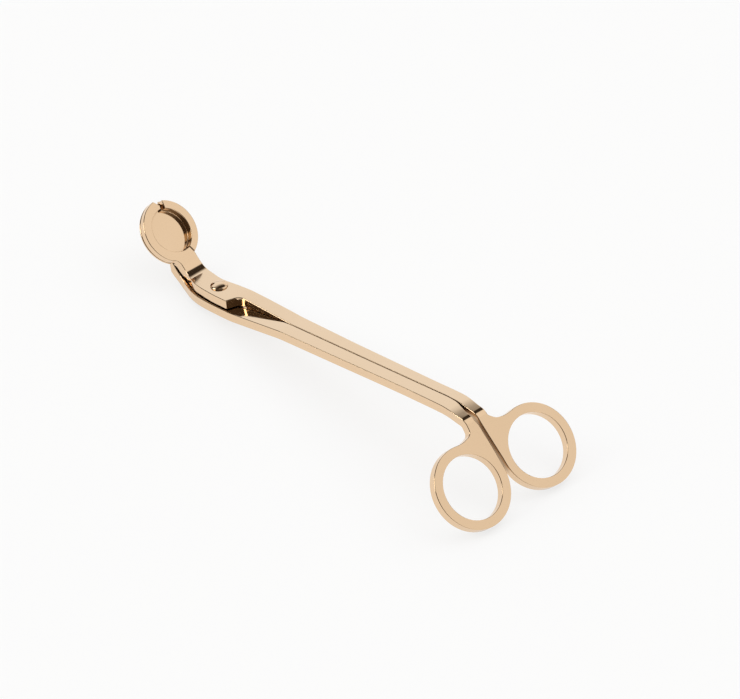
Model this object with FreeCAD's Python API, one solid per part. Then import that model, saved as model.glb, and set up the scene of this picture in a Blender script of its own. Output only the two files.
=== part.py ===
import FreeCAD, Part
import math
import os

# A scissor-action wick trimmer. Two cast levers cross at a domed rivet. The hook lever lies on top
# and ends in a half-ring blade. The tray lever lies below and ends in a shallow tray with the other
# half of the rim. Both heads rise from the neck, and both finger loops drop from the handle.
#
# Each lever is drawn flat in the pivot frame: Z is the rivet's axis, X runs from the head to the
# loops, and the closed seam between the handles is the line y = 0. Heads and loops are then bent
# about Y. The last step lays the trimmer on a table, on its neck and both loops, with the origin
# at the bottom centre of its box.

Vector = FreeCAD.Vector
ALONG_X = Vector(1, 0, 0)
ALONG_Y = Vector(0, 1, 0)

# Driving dimensions, in millimetres and degrees.
THICKNESS = 3.2
SEAM_GAP = 0.2
PIVOT_Y = 0.6

# Side profile, shared by both levers.
HEAD_ANGLE = 50.0
LOOP_ANGLE = 53.7
NECK_X = -13.4
HANDLE_BEND_X = 120.5
JOGGLE_START_X = 10.5
JOGGLE_END_X = 33.5
LEVER_GAP = 0.35
NECK_GAP = 0.75
NECK_BEND_RADIUS = 7.0
JOGGLE_RADIUS = 30.0
SOFT_BEND_X = 114.0
SOFT_BEND_ANGLE = 10.0
SOFT_BEND_RADIUS = 46.0
HANDLE_BEND_RADIUS = 4.2
SLAB_WIDTH = 40.0
SEAM_START_X = 12.6
SEAM_END_X = 104
END_RUN = 10.0
SAME_POINT = 1e-6

# Widths where a lever leaves its handle for the head and for the loop: (low y, high y).
HOOK_NECK_EDGES = (-0.7, 6.3)
TRAY_NECK_EDGES = (-0.9, 6.0)
HOOK_BEND_EDGES = (-0.8, 3.15)
TRAY_BEND_EDGES = (-6.05, -2.4)

# Plan outlines of the two handles between those bends, as (x, y) points.
HOOK_NECK_SIDE = [(-12.6, -1.3), (-8, -3.15), (-4.8, -3.8), (2, -4.5), (8.4, -4.7)]
HOOK_SHOULDER = [(8.4, -4.7), (8.9, -3.4), (10.1, -0.95)]
HOOK_SEAM_END = (112, -0.25)
HOOK_OUTER_SIDE = [(-9.2, 5.35), (-2.5, 4.3), (5, 4.9), (28, 5.6), (57, 4.85), (98, 4.2), (112, 4.0)]
TRAY_NECK_SIDE = [(-9, 4.95), (-2.5, 4.0), (8.4, 4.4)]
TRAY_SHOULDER = [(8.4, 4.4), (8.9, 3.2), (10.1, 0.95)]
TRAY_SEAM_END = (112, -0.5)
TRAY_OUTER_SIDE = [(-14.5, -1.75), (-10, -3.4), (-6.5, -4.35), (-3, -4.85), (4, -5.25), (25, -5.3),
                   (57, -5.15), (98, -5.05), (110, -5.35)]

# Finger loops, drawn flat: x is counted from the handle bend.
LOOP_HOLE_RADIUS = 11.0
LOOP_RADIUS = 14.3
HOOK_LOOP = (20.35, 14.3)
TRAY_LOOP = (21.45, -15.7)
WEB_END_ANGLE = 10.0
HOOK_WEB_OUTSIDE = [(4.6, 4.1), (5.8, 5.6), (6.3, 7.4)]
HOOK_WEB_INSIDE = [(7.4, -0.66), (12, -0.4)]
TRAY_WEB_OUTSIDE = [(4.6, -6.15), (5.7, -6.35), (6.6, -7.2), (7.1, -8.6)]
TRAY_WEB_INSIDE = [(3.8, -2.2), (8.9, -1.7)]

# Head, drawn flat: distance is counted from the neck bend towards the tip.
HOOK_CENTRE = (14.8, 4.1)
HOOK_RADIUS = 11.2
HOOK_HOLE_CENTRE = (15.0, 3.7)
HOOK_HOLE_RADIUS = 7.7
RIM_CENTRE = (15.0, 1.7)
RIM_RADIUS = 10.75
RIM_HOLE_CENTRE = (14.75, 1.5)
RIM_HOLE_RADIUS = 8.25
HOOK_THICKNESS = 2.3
TRAY_DEPTH = 2.5
TRAY_ROOT = 5.9
HOOK_STEP = 5.2
BLADE_START = -134
BLADE_END = -8
BLADE_NECK = [(4.0, -0.8), (5.15, -1.35)]
HOOK_TIP = (23.75, 4.05)
HOOK_ROOT = (4.96, 6.38)
HOOK_HOLE_END = -194.2
RIM_START = 154
RIM_END = 22
RIM_HOLE_START = 149.5
RIM_HOLE_END = 26.3
ROOT_THICKNESS = 1.35
ROOT_RELIEF_Y = 2.0
ROOT_RELIEF_END = 9.0
NECK_END_DEPTH = 5.7
NECK_TOE = 10.5
HEAD_REACH = 40.0
NOTCH_CENTRE = (26.6, 4.3)
NOTCH_RADIUS = 2.2

# Stop under the hook lever, behind the crossing: a wedge that ends inside the handle, at (x, z).
STOP_DEPTH = 0.8
STOP_END = (26.0, -2.4)

# Pivot.
RIVET_RADIUS = 1.75
RIVET_CLEARANCE = 0.05
RIVET_HEAD_RADIUS = 2.9
RIVET_HEAD_EDGE = 0.6
RIVET_TAIL_RADIUS = 2.6
RIVET_TAIL_EDGE = 0.25
DOME_EDGE_ANGLE = 70.0
WASHER_RADIUS = 3.9
WASHER_THICKNESS = 0.3

HOOK_TOP_Z = (THICKNESS + LEVER_GAP) / 2
TRAY_TOP_Z = -HOOK_TOP_Z


def tangent_length(radius, angle):
    """Distance from a bend's corner to where its arc of this radius starts."""
    return radius * math.tan(math.radians(angle) / 2)


def spline(points, start=None, end=None):
    """Smooth edge through (x, y) points. At each inner point its direction is that of the two
    neighbouring chords, the shorter one counting for more. Ends may be given a direction."""
    vectors = [Vector(x, y, 0) for x, y in points]
    chords = [after - before for before, after in zip(vectors, vectors[1:])]
    weighted = [chord / chord.Length ** 2 for chord in chords]
    tangents = [before + after for before, after in zip(weighted, weighted[1:])]
    tangents = [start or chords[0]] + tangents + [end or chords[-1]]
    tangents = [Vector(tangent).normalize() for tangent in tangents]
    curve = Part.BSplineCurve()
    curve.interpolate(Points=vectors, Tangents=tangents, TangentFlags=[True] * len(vectors), Scale=False)
    return curve.toShape()


def line(start, end):
    return Part.LineSegment(Vector(*start, 0), Vector(*end, 0)).toShape()


def on_circle(centre, radius, degrees):
    """Point (x, y) of a circle."""
    angle = math.radians(degrees)
    return (centre[0] + radius * math.cos(angle), centre[1] + radius * math.sin(angle))


def circle_tangent(degrees):
    """Direction of growing angle at a point of a circle."""
    angle = math.radians(degrees)
    return Vector(-math.sin(angle), math.cos(angle), 0)


def arc(centre, radius, start_degrees, end_degrees):
    angles = (start_degrees, (start_degrees + end_degrees) / 2, end_degrees)
    points = [Vector(*on_circle(centre, radius, angle), 0) for angle in angles]
    return Part.Arc(*points).toShape()


def plate(edges, thickness, top_z=0.0):
    """Flat plate below top_z, from the edges of its outline in the XY plane."""
    wire = Part.Wire(Part.__sortEdges__(edges))
    solid = Part.Face(wire).extrude(Vector(0, 0, -thickness))
    solid.translate(Vector(0, 0, top_z))
    return solid


def rounded_line(points, radii):
    """Wire in the XZ plane through (x, z) points, with an arc at each inner corner."""
    corners = [Vector(x, 0, z) for x, z in points]
    runs = [corners[0]]
    edges = []
    for before, corner, after, radius in zip(corners, corners[1:], corners[2:], radii):
        incoming = (corner - before).normalize()
        outgoing = (after - corner).normalize()
        turn = incoming.getAngle(outgoing)
        reach = radius * math.tan(turn / 2)
        arc_start = corner - incoming * reach
        arc_end = corner + outgoing * reach
        inward = (outgoing - incoming).normalize()
        arc_middle = corner + inward * (radius / math.cos(turn / 2) - radius)
        edges.append(Part.Arc(arc_start, arc_middle, arc_end).toShape())
        runs += [arc_start, arc_end]
    runs.append(corners[-1])
    for start, end in zip(runs[::2], runs[1::2]):
        if start.distanceToPoint(end) > SAME_POINT:
            edges.append(Part.LineSegment(start, end).toShape())
    return Part.Wire(Part.__sortEdges__(edges))


def loop_point(distance):
    """(x, z) of the loops' top face, this far down from where its line meets the handles' top."""
    angle = math.radians(LOOP_ANGLE)
    return (HANDLE_BEND_X + distance * math.cos(angle), -distance * math.sin(angle))


def handle_corner():
    """Distance down the loops' top face to the corner of the handle bend, after the soft bend."""
    run = HANDLE_BEND_X - SOFT_BEND_X
    turn = math.radians(LOOP_ANGLE - SOFT_BEND_ANGLE)
    return run * math.sin(math.radians(SOFT_BEND_ANGLE)) / math.sin(turn)


def loop_start():
    """Distance down the loops' top face to the end of the handle bend."""
    return handle_corner() + tangent_length(HANDLE_BEND_RADIUS, LOOP_ANGLE - SOFT_BEND_ANGLE)


def handle_end_x():
    """X of the lowest corner of the handle bend's end face."""
    return loop_point(loop_start())[0] - THICKNESS * math.sin(math.radians(LOOP_ANGLE))


def neck_end_x(neck_x, neck_radius):
    """X at which the neck bend's top face runs into the head."""
    return neck_x - tangent_length(neck_radius, HEAD_ANGLE) * math.cos(math.radians(HEAD_ANGLE))


def handle_slab(top_z, neck_x, neck_radius):
    """Bent side profile of a lever from neck to handle bend, as a wide slab to cut it from."""
    head_rise = tangent_length(neck_radius, HEAD_ANGLE) * math.sin(math.radians(HEAD_ANGLE))
    points = [
        (neck_end_x(neck_x, neck_radius), top_z + head_rise),
        (neck_x, top_z),
        (JOGGLE_START_X, top_z),
        (JOGGLE_END_X, 0),
        (SOFT_BEND_X, 0),
        loop_point(handle_corner()),
        loop_point(loop_start()),
    ]
    radii = (neck_radius, JOGGLE_RADIUS, JOGGLE_RADIUS, SOFT_BEND_RADIUS, HANDLE_BEND_RADIUS)
    top = rounded_line(points, radii)
    profile = top.makeOffset2D(-THICKNESS, 0, True, True)
    profile.translate(Vector(0, -SLAB_WIDTH / 2, 0))
    return profile.extrude(Vector(0, SLAB_WIDTH, 0))


def cut_to_plan(slab, edges):
    """The part of a slab inside an outline drawn in the XY plane."""
    height = 4 * SLAB_WIDTH
    return slab.common(plate(edges, height, height / 2))


def bend_head(shape, neck_x, top_z):
    """Tilts a flat head, drawn at the origin with its tip towards -X, up about the neck bend."""
    shape.rotate(Vector(0, 0, 0), ALONG_Y, HEAD_ANGLE)
    shape.translate(Vector(neck_x, 0, top_z))
    return shape


def finger_loop(centre, outer_web, inner_web, bend_edges):
    """Ring on a short web, drawn flat and then bent down at the end of the handle."""
    start_x = loop_start()
    side = math.copysign(1, centre[1])
    outer_start, inner_start = sorted(bend_edges, key=lambda y: -y * side)
    web_end = 180 + WEB_END_ANGLE * side
    ring_outer = on_circle(centre, LOOP_RADIUS, web_end)
    ring_inner = on_circle(centre, LOOP_RADIUS, -90 * side)
    outer_tangent = circle_tangent(web_end) * -side
    edges = [
        spline([(start_x, outer_start)] + outer_web + [ring_outer], ALONG_X, outer_tangent),
        arc(centre, LOOP_RADIUS, web_end, -90 * side + 180 * (1 - side)),
        spline([(start_x, inner_start)] + inner_web + [ring_inner], ALONG_X, ALONG_X),
        line((start_x, inner_start), (start_x, outer_start)),
    ]
    loop = plate(edges, THICKNESS)
    hole = Part.makeCylinder(LOOP_HOLE_RADIUS, THICKNESS, Vector(*centre, -THICKNESS))
    loop = loop.cut(hole)
    loop.rotate(Vector(0, 0, 0), ALONG_Y, LOOP_ANGLE)
    loop.translate(Vector(HANDLE_BEND_X, 0, 0))
    return loop


def head_plate(edges, thickness, top_z=0.0):
    """Plate from an outline whose x is the distance from the neck bend, turned to face -X."""
    return plate(edges, thickness, top_z).mirror(Vector(0, 0, 0), ALONG_X)


def block(low, high):
    """Box between two corners."""
    size = Vector(*high) - Vector(*low)
    return Part.makeBox(size.x, size.y, size.z, Vector(*low))


def make_hook():
    """Half-ring blade on its neck, thin where it passes over the tray."""
    neck_low, neck_high = HOOK_NECK_EDGES
    start = tangent_length(NECK_BEND_RADIUS, HEAD_ANGLE)
    outline = [
        spline([(start, neck_low)] + BLADE_NECK + [on_circle(HOOK_CENTRE, HOOK_RADIUS, BLADE_START)],
               ALONG_X, circle_tangent(BLADE_START)),
        arc(HOOK_CENTRE, HOOK_RADIUS, BLADE_START, BLADE_END),
        line(on_circle(HOOK_CENTRE, HOOK_RADIUS, BLADE_END), HOOK_TIP),
        line(HOOK_TIP, on_circle(HOOK_HOLE_CENTRE, HOOK_HOLE_RADIUS, 0)),
        arc(HOOK_HOLE_CENTRE, HOOK_HOLE_RADIUS, 0, HOOK_HOLE_END),
        line(on_circle(HOOK_HOLE_CENTRE, HOOK_HOLE_RADIUS, HOOK_HOLE_END), HOOK_ROOT),
        line(HOOK_ROOT, (start, neck_high)),
        line((start, neck_high), (start, neck_low)),
    ]
    hook = head_plate(outline, THICKNESS)
    tray_space = block((-HEAD_REACH, -HEAD_REACH, -THICKNESS), (-HOOK_STEP, HEAD_REACH, -HOOK_THICKNESS))
    root_relief = block((-ROOT_RELIEF_END, ROOT_RELIEF_Y, -THICKNESS),
                        (-HOOK_STEP, HEAD_REACH, -ROOT_THICKNESS))
    hook = hook.cut([tray_space, root_relief])
    return bend_head(hook, NECK_X, HOOK_TOP_Z)


def make_tray():
    """Tray floor, the fixed half of the rim on it, and the toe of the neck that carries it."""
    outer = Part.makeCylinder(RIM_RADIUS, THICKNESS - TRAY_DEPTH, Vector(*RIM_CENTRE, -THICKNESS))
    inner = Part.makeCylinder(HOOK_RADIUS, THICKNESS - TRAY_DEPTH, Vector(*HOOK_CENTRE, -THICKNESS))
    open_side = block((TRAY_ROOT, -HEAD_REACH, -THICKNESS), (HEAD_REACH, HEAD_REACH, 0))
    notch = Part.makeCylinder(NOTCH_RADIUS, THICKNESS, Vector(*NOTCH_CENTRE, -THICKNESS))
    floor = outer.common([inner]).common(open_side).cut(notch).mirror(Vector(0, 0, 0), ALONG_X)
    rim_outline = [
        arc(RIM_CENTRE, RIM_RADIUS, RIM_END, RIM_START),
        line(on_circle(RIM_CENTRE, RIM_RADIUS, RIM_START),
             on_circle(RIM_HOLE_CENTRE, RIM_HOLE_RADIUS, RIM_HOLE_START)),
        arc(RIM_HOLE_CENTRE, RIM_HOLE_RADIUS, RIM_HOLE_START, RIM_HOLE_END),
        line(on_circle(RIM_HOLE_CENTRE, RIM_HOLE_RADIUS, RIM_HOLE_END),
             on_circle(RIM_CENTRE, RIM_RADIUS, RIM_END)),
    ]
    rim = head_plate(rim_outline, THICKNESS)
    return [bend_head(shape, NECK_X, HOOK_TOP_Z) for shape in (floor, rim, make_neck_toe())]


def make_neck_toe():
    """Tapered end of the tray lever's neck, which steps up to carry the tray from below."""
    low_y, high_y = TRAY_NECK_EDGES
    top_w = -(THICKNESS + NECK_GAP)
    bottom_w = top_w - THICKNESS
    start = tray_neck_start()
    side = [
        (start, top_w), (TRAY_ROOT, top_w), (TRAY_ROOT, -TRAY_DEPTH), (NECK_TOE, -TRAY_DEPTH),
        (NECK_TOE, -THICKNESS), (TRAY_ROOT, -NECK_END_DEPTH), (start, bottom_w), (start, top_w),
    ]
    face = Part.Face(Part.makePolygon([Vector(-distance, low_y, w) for distance, w in side]))
    return face.extrude(Vector(0, high_y - low_y, 0))


def tray_neck_corner():
    """X of the tray lever's neck bend, NECK_GAP below the hook lever's neck."""
    angle = math.radians(HEAD_ANGLE)
    drop = (HOOK_TOP_Z - TRAY_TOP_Z) * math.cos(angle) - THICKNESS - NECK_GAP
    return NECK_X + drop / math.sin(angle)


def tray_neck_radius():
    return NECK_BEND_RADIUS + THICKNESS + NECK_GAP


def tray_neck_start():
    """Distance along the head from the hook lever's neck bend to the end of the tray lever's."""
    angle = math.radians(HEAD_ANGLE)
    corner_shift = (NECK_X - tray_neck_corner()) * math.cos(angle)
    corner_drop = (HOOK_TOP_Z - TRAY_TOP_Z) * math.sin(angle)
    return corner_shift - corner_drop + tangent_length(tray_neck_radius(), HEAD_ANGLE)


def make_hook_lever():
    """Upper lever: its loop and handle, the crossing at the rivet, and the half-ring blade."""
    neck_low, neck_high = HOOK_NECK_EDGES
    bend_low, bend_high = HOOK_BEND_EDGES
    seam = SEAM_GAP / 2
    neck_x = neck_end_x(NECK_X, NECK_BEND_RADIUS)
    bend_x = handle_end_x()
    seam_start = (SEAM_START_X, seam)
    seam_end = (SEAM_END_X, seam)
    plan = [
        spline([(neck_x, neck_low)] + HOOK_NECK_SIDE, ALONG_X),
        spline(HOOK_SHOULDER + [seam_start], None, ALONG_X),
        line(seam_start, seam_end),
        spline([seam_end, HOOK_SEAM_END, (bend_x, bend_low)], ALONG_X, ALONG_X),
        spline([(neck_x, neck_high)] + HOOK_OUTER_SIDE + [(bend_x, bend_high)], ALONG_X, ALONG_X),
    ]
    plan += straight_ends((neck_x, neck_low), (neck_x, neck_high), -END_RUN)
    plan += straight_ends((bend_x, bend_low), (bend_x, bend_high), END_RUN)
    slab = handle_slab(HOOK_TOP_Z, NECK_X, NECK_BEND_RADIUS).fuse(stop_wedge())
    handle = cut_to_plan(slab, plan)
    loop = finger_loop(HOOK_LOOP, HOOK_WEB_OUTSIDE, HOOK_WEB_INSIDE, HOOK_BEND_EDGES)
    lever = handle.fuse([loop, make_hook()]).removeSplitter()
    bore_radius = RIVET_RADIUS + RIVET_CLEARANCE
    bore = Part.makeCylinder(bore_radius, THICKNESS, Vector(0, PIVOT_Y, HOOK_TOP_Z - THICKNESS))
    return lever.cut(bore).Solids[0]


def stop_wedge():
    """Wedge under the hook lever, as wide as the slab, that closes the opening behind the crossing."""
    middle = HOOK_TOP_Z - THICKNESS / 2
    bottom = HOOK_TOP_Z - THICKNESS - STOP_DEPTH
    side = [(SEAM_START_X, middle), (SEAM_START_X, bottom), STOP_END, (SEAM_START_X, middle)]
    face = Part.Face(Part.makePolygon([Vector(x, -SLAB_WIDTH / 2, z) for x, z in side]))
    return face.extrude(Vector(0, SLAB_WIDTH, 0))


def straight_ends(low, high, run):
    """Three edges that carry an outline straight on from two points and close it."""
    far_low = (low[0] + run, low[1])
    far_high = (high[0] + run, high[1])
    return [line(low, far_low), line(far_low, far_high), line(far_high, high)]


def make_tray_lever():
    """Lower lever: its loop and handle, the crossing under the hook lever, and the tray."""
    neck_low, neck_high = TRAY_NECK_EDGES
    bend_low, bend_high = TRAY_BEND_EDGES
    seam = -SEAM_GAP / 2
    neck_x = neck_end_x(tray_neck_corner(), tray_neck_radius())
    bend_x = handle_end_x()
    seam_start = (SEAM_START_X, seam)
    seam_end = (SEAM_END_X, seam)
    plan = [
        spline([(neck_x, neck_low)] + TRAY_OUTER_SIDE + [(bend_x, bend_low)], ALONG_X, ALONG_X),
        spline([(neck_x, neck_high)] + TRAY_NECK_SIDE, ALONG_X),
        spline(TRAY_SHOULDER + [seam_start], None, ALONG_X),
        line(seam_start, seam_end),
        spline([seam_end, TRAY_SEAM_END, (bend_x, bend_high)], ALONG_X, ALONG_X),
    ]
    plan += straight_ends((neck_x, neck_low), (neck_x, neck_high), -END_RUN)
    plan += straight_ends((bend_x, bend_low), (bend_x, bend_high), END_RUN)
    handle = cut_to_plan(handle_slab(TRAY_TOP_Z, tray_neck_corner(), tray_neck_radius()), plan)
    loop = finger_loop(TRAY_LOOP, TRAY_WEB_OUTSIDE, TRAY_WEB_INSIDE, TRAY_BEND_EDGES)
    lever = handle.fuse([loop] + make_tray()).removeSplitter()
    hole = Part.makeCylinder(RIVET_RADIUS, THICKNESS, Vector(0, PIVOT_Y, TRAY_TOP_Z - THICKNESS))
    return lever.cut(hole).Solids[0]


def button_dome(radius, edge_radius, base_z, direction):
    """Dome on the rivet's axis: a flat spherical top with a rounded edge. Direction is 1 up, -1 down."""
    angle = math.radians(DOME_EDGE_ANGLE)
    seam_radius = radius - edge_radius + edge_radius * math.cos(angle)
    seam_height = edge_radius * math.sin(angle)
    top_radius = seam_radius / math.cos(angle)
    sphere = Part.makeSphere(top_radius, Vector(0, 0, seam_height - seam_radius * math.tan(angle)))
    top = sphere.common(Part.makeCylinder(seam_radius, top_radius, Vector(0, 0, seam_height)))
    edge = Part.makeTorus(radius - edge_radius, edge_radius)
    core = Part.makeCylinder(radius - edge_radius, seam_height)
    skirt = edge.fuse(core).common(Part.makeCylinder(radius, seam_height))
    dome = top.fuse(skirt)
    if direction < 0:
        dome.rotate(Vector(0, 0, 0), ALONG_X, 180)
    dome.translate(Vector(0, PIVOT_Y, base_z))
    return dome


def make_rivet():
    """Domed rivet, pressed into the tray lever and peened over below it."""
    top_z = HOOK_TOP_Z + RIVET_CLEARANCE
    bottom_z = TRAY_TOP_Z - THICKNESS
    shank = Part.makeCylinder(RIVET_RADIUS, top_z - bottom_z, Vector(0, PIVOT_Y, bottom_z))
    head = button_dome(RIVET_HEAD_RADIUS, RIVET_HEAD_EDGE, top_z, 1)
    tail = button_dome(RIVET_TAIL_RADIUS, RIVET_TAIL_EDGE, bottom_z, -1)
    return shank.fuse([head, tail]).removeSplitter().Solids[0]


def make_washer():
    """Thin washer that keeps the two levers' faces apart."""
    base = Vector(0, PIVOT_Y, TRAY_TOP_Z)
    disc = Part.makeCylinder(WASHER_RADIUS, WASHER_THICKNESS, base)
    hole = Part.makeCylinder(RIVET_RADIUS + RIVET_CLEARANCE, WASHER_THICKNESS, base)
    return disc.cut(hole).Solids[0]


def table_tilt():
    """Degrees about Y that bring the neck and the finger loops down onto one level."""
    radius = tray_neck_radius() + THICKNESS
    neck_x = tray_neck_corner() + tangent_length(tray_neck_radius(), HEAD_ANGLE)
    neck_centre = Vector(neck_x, 0, TRAY_TOP_Z + tray_neck_radius())
    angle = math.radians(LOOP_ANGLE)
    reach = (HOOK_LOOP[0] + TRAY_LOOP[0]) / 2 + LOOP_RADIUS
    loop_foot = Vector(HANDLE_BEND_X + reach * math.cos(angle) - THICKNESS * math.sin(angle), 0,
                       -reach * math.sin(angle) - THICKNESS * math.cos(angle))
    span = loop_foot - neck_centre
    return math.degrees(math.atan2(span.z, span.x) + math.asin(radius / span.Length))


def table_roll():
    """Degrees about X, after the tilt, that level the two finger loops."""
    drop = (TRAY_LOOP[0] - HOOK_LOOP[0]) * math.sin(math.radians(LOOP_ANGLE + table_tilt()))
    return math.degrees(math.atan(drop / (TRAY_LOOP[1] - HOOK_LOOP[1])))


def build():
    parts = {
        "hook_lever": make_hook_lever(),
        "tray_lever": make_tray_lever(),
        "pivot_rivet": make_rivet(),
        "pivot_washer": make_washer(),
    }
    for shape in parts.values():
        shape.rotate(Vector(0, 0, 0), ALONG_Y, table_tilt())
        shape.rotate(Vector(0, 0, 0), ALONG_X, table_roll())
    box = FreeCAD.BoundBox()
    for shape in parts.values():
        box.add(shape.optimalBoundingBox(False))
    for shape in parts.values():
        shape.translate(Vector(-box.Center.x, -box.Center.y, -box.ZMin))
    return parts


os.makedirs("parts", exist_ok=True)
for node, shape in build().items():
    shape.exportStep(f"parts/{node}.step")
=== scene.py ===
import math

import bpy
from mathutils import Matrix, Vector


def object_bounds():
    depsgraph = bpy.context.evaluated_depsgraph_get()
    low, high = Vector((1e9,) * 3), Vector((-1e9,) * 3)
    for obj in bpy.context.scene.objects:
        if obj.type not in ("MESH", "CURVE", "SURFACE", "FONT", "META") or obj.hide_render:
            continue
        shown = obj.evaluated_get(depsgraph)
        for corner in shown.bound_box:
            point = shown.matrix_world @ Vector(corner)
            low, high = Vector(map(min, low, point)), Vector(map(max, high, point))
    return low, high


# Looks of the wick trimmer: polished pale rose-gold plating on the levers and the rivet, rounded edges
# on the levers, a satin steel washer, a white floor, and a studio with two light panels behind the tool.

MM = 0.001

# Camera. Azimuth 0 looks along +Y. The view's middle is this far right of and above the middle of
# the object's box, as the camera sees it.
CAMERA_AZIMUTH = math.radians(46.27)
CAMERA_ELEVATION = math.radians(39.16)
CAMERA_ROLL = math.radians(-0.47)
VIEW_RIGHT = 11.36 * MM
VIEW_UP = 1.45 * MM
CAMERA_DISTANCE = 1.0
CLIP_END = 4.0
WIDTH_SHOWN = 0.2386

# Rounding of the levers' edges: edges sharper than SHARP_ANGLE, once the faces that lie within
# FLAT_ANGLE of each other are joined.
EDGE_ROUND = 0.26 * MM
ROUND_SEGMENTS = 3
SHARP_ANGLE = math.radians(25)
FLAT_ANGLE = math.radians(0.6)
WELD_DISTANCE = 0.001 * MM
FACE_WEIGHT = 100

# Plating. Colours are linear, here and below. A noise is given as scale, in waves per metre, and detail.
GOLD = (0.83, 0.61, 0.405)
GOLD_DEEP = (0.80, 0.575, 0.37)
GOLD_CLOUDING = (60.0, 2.0)
GOLD_SMEARS = (250.0, 4.0)
SMEAR_RANGE = (0.3, 0.7)
GOLD_ROUGHNESS = (0.05, 0.11)
GOLD_RIPPLE = (180.0, 1.0)
RIPPLE_STRENGTH = 0.15
RIPPLE_HEIGHT = 0.05 * MM

# Painted shade in the plating's crevices, with a rougher gloss there: how near another surface has to
# be, and between which shares of open space around a point the painted shade gives way to the polish.
CREVICE_PAINTED_SHADE = (0.24, 0.145, 0.075)
CREVICE_ROUGHNESS = 0.3
CREVICE_REACH = 2.5 * MM
CREVICE_OPENNESS = (0.15, 0.75)

WASHER_STEEL = (0.42, 0.38, 0.33)
STEEL_GRAIN = (1500.0, 3.0)
STEEL_ROUGHNESS = (0.25, 0.45)

FLOOR_SIZE = 6.0
FLOOR_WHITE = (0.15, 0.15, 0.15)
FLOOR_GLOW = 0.75
FILL_STRENGTH = 3.0
FILL_ANGLE = math.radians(120)

# Studio. Each ramp gives colours round the Y axis, from 0 to 1 with 0.5 straight up and 0.75 towards
# +X. The edges are sines of the angle above the horizon or towards +Y. Below the horizon the world is
# as white as the floor, for views so low that part of them lies under the floor.
COOL_WHITE = (0.98, 1.03, 1.09)
WARM_WHITE = (0.97, 0.96, 0.94)
LOW_WHITE = (0.90, 0.89, 0.87)
GAP_GREY = (0.25, 0.24, 0.23)
DARK = (0.04, 0.032, 0.025)
ROOM_DARK = (0.06, 0.05, 0.04)
SIDE_GREY = (0.35, 0.33, 0.30)
PANEL_STOPS = [(0.0, COOL_WHITE), (0.355, COOL_WHITE), (0.39, GAP_GREY), (0.405, DARK), (0.48, DARK),
               (0.495, WARM_WHITE), (0.60, WARM_WHITE), (0.64, LOW_WHITE), (1.0, LOW_WHITE)]
ROOM_STOPS = [(0.0, ROOM_DARK), (0.66, ROOM_DARK), (0.76, SIDE_GREY), (1.0, SIDE_GREY)]
PANEL_EDGE_Y = (0.0, 0.25)
BACK_EDGE_Y = (0.64, 0.74)
HORIZON_Z = (0.0, 0.06)
HORIZON_GREY = (0.10, 0.08, 0.06)
UNDER_EDGE_Z = (-0.05, -0.02)
UNDER_WHITE = (0.965, 0.965, 0.96)

# Round cards in the studio's sky: direction, half-angle in degrees, colour. The first is a lamp to the
# photographer's left, the second a weak one overhead, the third a dark screen low at the back. Their
# edges fade over CARD_SOFTNESS degrees to either side.
CARDS = [
    ((-0.50, -0.69, 0.50), 16, (4.5, 4.5, 4.2)),
    ((0.18, -0.22, 0.96), 9, (0.6, 0.52, 0.38)),
    ((0.15, 0.94, 0.30), 12, (0.10, 0.08, 0.06)),
]
CARD_SOFTNESS = 2.5


def make_camera(centre):
    data = bpy.data.cameras.new("camera")
    data.type = "ORTHO"
    data.ortho_scale = WIDTH_SHOWN
    data.clip_end = CLIP_END
    camera = bpy.data.objects.new("camera", data)
    turn = (Matrix.Rotation(CAMERA_AZIMUTH, 3, "Z")
            @ Matrix.Rotation(math.pi / 2 - CAMERA_ELEVATION, 3, "X")
            @ Matrix.Rotation(CAMERA_ROLL, 3, "Z"))
    place = centre + turn @ Vector((VIEW_RIGHT, VIEW_UP, CAMERA_DISTANCE))
    camera.matrix_world = Matrix.Translation(place) @ turn.to_4x4()
    bpy.context.scene.collection.objects.link(camera)
    bpy.context.scene.camera = camera


def node_maker(tree):
    """A function that adds a node to the tree and sets its inputs and properties by name."""
    def add(kind, inputs=None, **properties):
        node = tree.nodes.new(kind)
        for name, value in properties.items():
            setattr(node, name, value)
        for name, value in (inputs or {}).items():
            if isinstance(value, bpy.types.NodeSocket):
                tree.links.new(value, node.inputs[name])
            else:
                node.inputs[name].default_value = value
        return node
    return add


def ramp(node, stops):
    """Sets a colour ramp's stops, as (position, colour)."""
    elements = node.color_ramp.elements
    for position, colour in stops[2:]:
        elements.new(position)
    for element, (position, colour) in zip(elements, stops):
        element.position = position
    for element, (position, colour) in zip(elements, stops):
        element.color = (*colour, 1)


def noise(add, place, scale, detail):
    """Noise between 0 and 1."""
    return add("ShaderNodeTexNoise", {"Vector": place, "Scale": scale, "Detail": detail}).outputs["Fac"]


def in_step(add, value, low, high, start=0.0, end=1.0):
    """Number that goes evenly from start to end as value goes from low to high."""
    return add("ShaderNodeMapRange", {"Value": value, "From Min": low, "From Max": high,
                                      "To Min": start, "To Max": end}).outputs[0]


def smooth_step(add, value, low, high):
    """Number that goes from 0 to 1, with soft ends, as value goes from low to high."""
    return add("ShaderNodeMapRange", {"Value": value, "From Min": low, "From Max": high},
               interpolation_type="SMOOTHSTEP").outputs[0]


def mixed(add, share, first, second):
    """Colour that goes from first to second as share goes from 0 to 1."""
    node = add("ShaderNodeMix", {0: share}, data_type="RGBA")
    for slot, colour in ((6, first), (7, second)):
        if isinstance(colour, bpy.types.NodeSocket):
            node.id_data.links.new(colour, node.inputs[slot])
        else:
            node.inputs[slot].default_value = (*colour, 1)
    return node.outputs[2]


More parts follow.
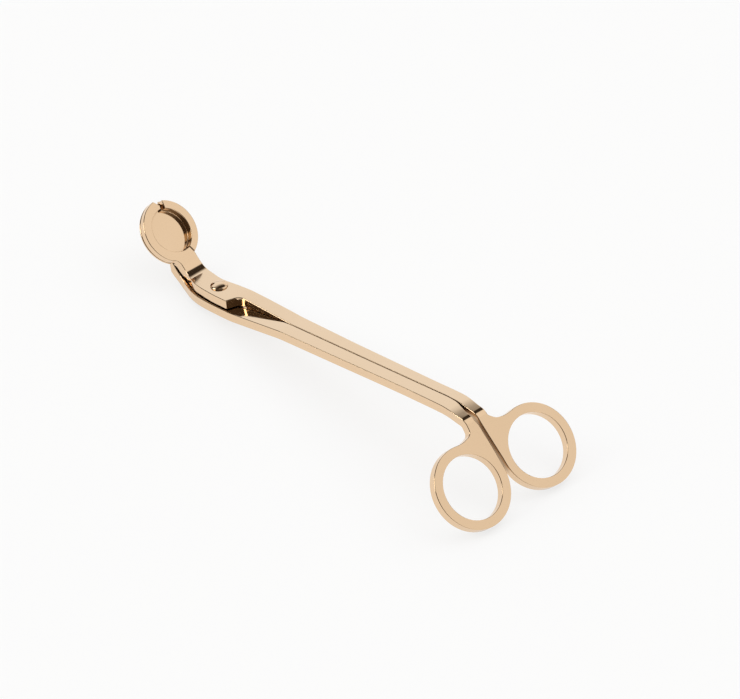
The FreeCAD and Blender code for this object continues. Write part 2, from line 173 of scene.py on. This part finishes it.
def make_studio():
    """World light. The back half of the sky has two panels, with a dark gap between them, and a light
    wall behind them. The front half is a dim room. The cards lie over them all."""
    world = bpy.data.worlds.new("studio")
    world.use_nodes = True
    tree = world.node_tree
    tree.nodes.clear()
    add = node_maker(tree)
    direction = add("ShaderNodeTexCoord").outputs["Generated"]
    x, y, z = add("ShaderNodeSeparateXYZ", {"Vector": direction}).outputs
    angle = add("ShaderNodeMath", {0: x, 1: z}, operation="ARCTAN2").outputs[0]
    turn = in_step(add, angle, -math.pi, math.pi)
    panels = add("ShaderNodeValToRGB", {"Fac": turn})
    ramp(panels, PANEL_STOPS)
    room = add("ShaderNodeValToRGB", {"Fac": turn})
    ramp(room, ROOM_STOPS)
    light = mixed(add, smooth_step(add, y, *PANEL_EDGE_Y), room.outputs[0], panels.outputs[0])
    light = mixed(add, smooth_step(add, y, *BACK_EDGE_Y), light, WARM_WHITE)
    light = mixed(add, smooth_step(add, z, *HORIZON_Z), HORIZON_GREY, light)
    light = mixed(add, smooth_step(add, z, *UNDER_EDGE_Z), UNDER_WHITE, light)
    for centre, half_angle, colour in CARDS:
        middle = Vector(centre).normalized()
        nearness = add("ShaderNodeVectorMath", {0: direction, 1: middle}, operation="DOT_PRODUCT")
        edge = [math.cos(math.radians(half_angle + step)) for step in (CARD_SOFTNESS, -CARD_SOFTNESS)]
        light = mixed(add, smooth_step(add, nearness.outputs["Value"], *edge), light, colour)
    background = add("ShaderNodeBackground", {"Color": light})
    output = add("ShaderNodeOutputWorld")
    tree.links.new(background.outputs[0], output.inputs["Surface"])
    bpy.context.scene.world = world
    bpy.context.scene.view_settings.view_transform = "Standard"


def make_fill_light():
    """Soft light from above for the floor alone: polished metal doesn't mirror it."""
    data = bpy.data.lights.new("overhead_fill", "SUN")
    data.energy = FILL_STRENGTH
    data.angle = FILL_ANGLE
    light = bpy.data.objects.new("overhead_fill", data)
    light.visible_glossy = False
    bpy.context.scene.collection.objects.link(light)


def material(name):
    """New material without nodes, and the function that adds nodes to it."""
    made = bpy.data.materials.new(name)
    made.use_nodes = True
    made.node_tree.nodes.clear()
    return made, node_maker(made.node_tree)


def finish_material(made, add, shader):
    """Sends the shader to the material's output."""
    output = add("ShaderNodeOutputMaterial")
    made.node_tree.links.new(shader.outputs[0], output.inputs["Surface"])
    return made


def gold_plating():
    """Polished plating: faint clouding of the colour, a soft unevenness under the gloss, and painted
    shade with a rougher gloss in crevices, where another surface is near."""
    made, add = material("gold_plating")
    place = add("ShaderNodeTexCoord").outputs["Object"]
    cloud = noise(add, place, *GOLD_CLOUDING)
    # Painted shade: ambient occlusion darkens the colour towards a dark brown, and roughens the gloss,
    # where another surface is near.
    openness = add("ShaderNodeAmbientOcclusion", {"Distance": CREVICE_REACH}).outputs["AO"]
    unshaded_share = smooth_step(add, openness, *CREVICE_OPENNESS)
    colour = mixed(add, unshaded_share, CREVICE_PAINTED_SHADE, mixed(add, cloud, GOLD, GOLD_DEEP))
    gloss = in_step(add, noise(add, place, *GOLD_SMEARS), *SMEAR_RANGE, *GOLD_ROUGHNESS)
    roughness = in_step(add, unshaded_share, 0.0, 1.0, CREVICE_ROUGHNESS, gloss)
    bump = add("ShaderNodeBump", {"Height": noise(add, place, *GOLD_RIPPLE), "Strength": RIPPLE_STRENGTH,
                                  "Distance": RIPPLE_HEIGHT}).outputs["Normal"]
    shader = add("ShaderNodeBsdfPrincipled", {"Base Color": colour, "Metallic": 1.0,
                                             "Roughness": roughness, "Normal": bump})
    return finish_material(made, add, shader)


def washer_steel():
    """Satin steel: a fine grain in the gloss."""
    made, add = material("washer_steel")
    place = add("ShaderNodeTexCoord").outputs["Object"]
    roughness = in_step(add, noise(add, place, *STEEL_GRAIN), 0.0, 1.0, *STEEL_ROUGHNESS)
    shader = add("ShaderNodeBsdfPrincipled", {"Base Color": (*WASHER_STEEL, 1), "Metallic": 1.0,
                                             "Roughness": roughness})
    return finish_material(made, add, shader)


def floor_white():
    """Matt white with a glow, so that only soft shadows show on it."""
    made, add = material("floor_white")
    shader = add("ShaderNodeBsdfPrincipled", {"Base Color": (*FLOOR_WHITE, 1), "Roughness": 1.0,
                                             "Specular IOR Level": 0.0, "Emission Color": (1, 1, 1, 1),
                                             "Emission Strength": FLOOR_GLOW})
    return finish_material(made, add, shader)


def make_floor():
    bpy.ops.mesh.primitive_plane_add(size=FLOOR_SIZE)
    floor = bpy.context.object
    floor.name = "floor"
    floor.data.materials.append(floor_white())


def round_edges(node):
    """Rounds a CAD node's sharp edges without touching its own mesh."""
    weld = node.modifiers.new("weld", "WELD")
    weld.merge_threshold = WELD_DISTANCE
    flat = node.modifiers.new("flat", "DECIMATE")
    flat.decimate_type = "DISSOLVE"
    flat.angle_limit = FLAT_ANGLE
    rounding = node.modifiers.new("rounding", "BEVEL")
    rounding.limit_method = "ANGLE"
    rounding.angle_limit = SHARP_ANGLE
    rounding.width = EDGE_ROUND
    rounding.segments = ROUND_SEGMENTS
    rounding.use_clamp_overlap = False
    shading = node.modifiers.new("shading", "WEIGHTED_NORMAL")
    shading.weight = FACE_WEIGHT
    shading.keep_sharp = False


def dress(node, finish):
    """Gives a CAD node one finish and smooth shading."""
    node.data.materials.clear()
    node.data.materials.append(finish)
    for face in node.data.polygons:
        face.use_smooth = True


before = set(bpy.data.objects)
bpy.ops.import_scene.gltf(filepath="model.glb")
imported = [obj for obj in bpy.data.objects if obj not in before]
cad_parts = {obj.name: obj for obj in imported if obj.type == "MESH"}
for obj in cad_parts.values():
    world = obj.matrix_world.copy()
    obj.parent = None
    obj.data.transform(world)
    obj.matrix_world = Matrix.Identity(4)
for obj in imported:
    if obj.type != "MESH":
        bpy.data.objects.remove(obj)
cad_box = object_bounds()

make_camera((cad_box[0] + cad_box[1]) / 2)
make_studio()
make_fill_light()
make_floor()

gold = gold_plating()
for name in ("hook_lever", "tray_lever", "pivot_rivet"):
    dress(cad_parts[name], gold)
dress(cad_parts["pivot_washer"], washer_steel())
for name in ("hook_lever", "tray_lever"):
    round_edges(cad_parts[name])
